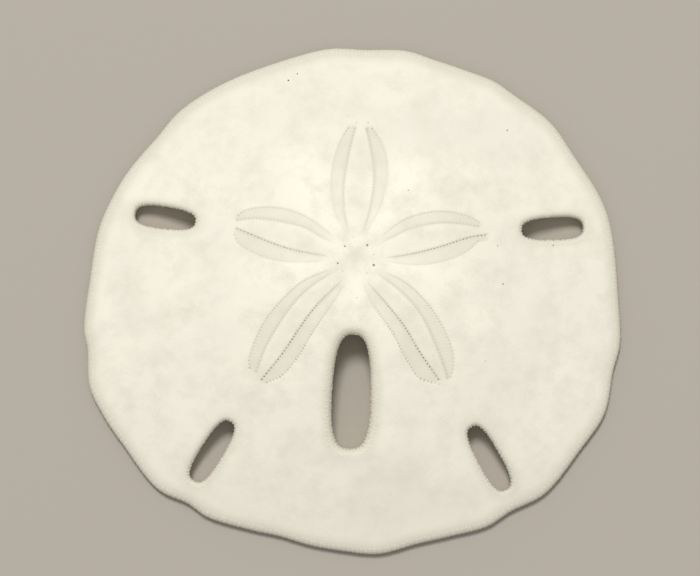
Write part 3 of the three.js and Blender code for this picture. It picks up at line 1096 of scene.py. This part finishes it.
# grey of the pore bands, also the colour of the painted shade at the rim and round the lunules
BAND_AND_SHADE_GREY = (0.62, 0.595, 0.51, 1)
BAND_AND_SHADE_WARM = (0.72, 0.69, 0.56, 1)
# brown of the dark grains and the pores, with painted shade in the pores, the mouth and the vent
GRAIN_BROWN_AND_PIT_SHADE = (0.22, 0.115, 0.055, 1)


class Shading:
    """Adds nodes to a material. Their inputs are plain values or what other nodes give."""

    def __init__(self, material):
        self.nodes, self.links = material.node_tree.nodes, material.node_tree.links
        self.place = self.nodes.new("ShaderNodeTexCoord").outputs["Object"]

    def feed(self, node, inputs):
        """Sets a node's inputs, given by name or number, and returns its outputs."""
        for name, value in inputs.items():
            if isinstance(value, bpy.types.NodeSocket):
                self.links.new(value, node.inputs[name])
            else:
                node.inputs[name].default_value = value
        return node.outputs

    def read(self, name):
        node = self.nodes.new("ShaderNodeAttribute")
        node.attribute_name = name
        return node.outputs["Fac"]

    def noise(self, size, detail):
        """Noise with blotches of so many millimetres."""
        node = self.nodes.new("ShaderNodeTexNoise")
        return self.feed(node, {"Vector": self.place, "Scale": 1 / (size * MM), "Detail": detail})["Fac"]

    def remap(self, value, low, high, to_low, to_high):
        node = self.nodes.new("ShaderNodeMapRange")
        limits = {"From Min": low, "From Max": high, "To Min": to_low, "To Max": to_high}
        return self.feed(node, {"Value": value, **limits})["Result"]

    def add(self, first, second):
        return self.feed(self.nodes.new("ShaderNodeMath"), {0: first, 1: second})[0]

    def mix(self, share, first, second):
        """Mixes two colours, which are a colour mix's inputs 6 and 7 and its output 2."""
        node = self.nodes.new("ShaderNodeMix")
        node.data_type = "RGBA"
        return self.feed(node, {"Factor": share, 6: first, 7: second})[2]


def test_colour(shading):
    """Warm cream, greyer in the pore bands, with painted shade at the rim and on the lunules' lips, and
    brown in the pores, with painted shade in them and in the mouth and the vent.
    """
    clouds = shading.remap(shading.noise(4.5, 1), 0.3, 0.7, -0.2, 0.4)
    mottle = shading.remap(shading.noise(1.6, 2), 0.3, 0.7, -0.15, 0.3)
    grain = shading.remap(shading.noise(0.28, 2), 0.25, 0.75, -0.18, 0.2)
    blotches = shading.add(shading.add(clouds, mottle), grain)
    colour = shading.mix(shading.read("tone"), CREAM, BLEACHED)
    colour = shading.mix(blotches, colour, CREAM_DARK)
    band_and_shade_colour = shading.mix(shading.read("tone"), BAND_AND_SHADE_GREY, BAND_AND_SHADE_WARM)
    # the band mark: the pore bands' grey, and painted shade at the rim and round the lunules
    colour = shading.mix(shading.read("band"), colour, band_and_shade_colour)
    # the pore mark: brown of grains and pores, with painted shade in the pits
    return shading.mix(shading.read("pore"), colour, GRAIN_BROWN_AND_PIT_SHADE)


def test_material():
    """The bleached, chalky material of the whole test."""
    material = bpy.data.materials.new("bleached_test")
    material.use_nodes = True
    shading = Shading(material)
    bump = shading.nodes.new("ShaderNodeBump")
    relief = {"Distance": 0.03 * MM, "Strength": 0.5, "Height": shading.noise(0.16, 3)}
    inputs = {
        "Base Color": test_colour(shading),
        "Roughness": shading.remap(shading.noise(0.6, 2), 0.3, 0.7, 0.82, 0.95),
        "Specular IOR Level": 0.3,
        "Normal": shading.feed(bump, relief)["Normal"],
    }
    shading.feed(shading.nodes["Principled BSDF"], inputs)
    return material


def build_test():
    material = test_material()
    shell = Surface()
    top_loops = add_top(shell)
    under_loops = add_underside(shell)
    add_rim(shell, top_loops[0], under_loops[0])
    for parts in zip(LUNULES, lunule_turns, top_loops[1:], under_loops[1:]):
        add_lunule(shell, *parts)
    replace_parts(make_piece("test", shell, material), "shell")
    make_piece("aboral_tubercles", aboral_knobs(), material)
    make_piece("rim_tubercles", rim_knobs(), material)
    make_piece("lunule_tubercles", lip_knobs(), material)
    make_piece("oral_tubercles", oral_knobs(), material)


# ------ floor, light and camera
FLOOR_COLOUR = (0.42, 0.385, 0.34, 1)
FLOOR_SIZE = 6.0
KEY_AT = (-0.18, 1.09, 2.12)
KEY_SIZE = 0.54
KEY_POWER = 40.6
KEY_COLOUR = (1.0, 0.985, 0.955)
SKY_COLOUR = (1.0, 0.985, 0.96, 1)
SKY_STRENGTH = 0.475
CAMERA_AT = (-0.33, 1.97, 400.0)
CAMERA_LENS = 138.35
SENSOR = 36.0


def make_floor():
    bpy.ops.mesh.primitive_plane_add(size=FLOOR_SIZE)
    floor = bpy.context.object
    floor.name = "floor"
    material = bpy.data.materials.new("floor")
    material.use_nodes = True
    shader = material.node_tree.nodes["Principled BSDF"]
    shader.inputs["Base Color"].default_value = FLOOR_COLOUR
    shader.inputs["Roughness"].default_value = 0.9
    floor.data.materials.append(material)


def make_light():
    """A square soft light that faces the object."""
    light = bpy.data.lights.new("key", "AREA")
    light.size = KEY_SIZE
    light.energy = KEY_POWER
    light.color = KEY_COLOUR
    lamp = bpy.data.objects.new("key", light)
    lamp.location = KEY_AT
    lamp.rotation_mode = "QUATERNION"
    lamp.rotation_quaternion = (-lamp.location).to_track_quat("-Z", "Y")
    bpy.context.collection.objects.link(lamp)


def make_studio():
    make_floor()
    make_light()
    world = bpy.data.worlds.new("studio")
    world.use_nodes = True
    background = world.node_tree.nodes["Background"]
    background.inputs["Color"].default_value = SKY_COLOUR
    background.inputs["Strength"].default_value = SKY_STRENGTH
    bpy.context.scene.world = world
    bpy.context.scene.view_settings.view_transform = "Standard"


def make_camera():
    camera = bpy.data.cameras.new("camera")
    camera.lens = CAMERA_LENS
    camera.sensor_width = SENSOR
    holder = bpy.data.objects.new("camera", camera)
    holder.location = [value * MM for value in CAMERA_AT]
    bpy.context.collection.objects.link(holder)
    bpy.context.scene.camera = holder


build_test()
make_studio()
make_camera()
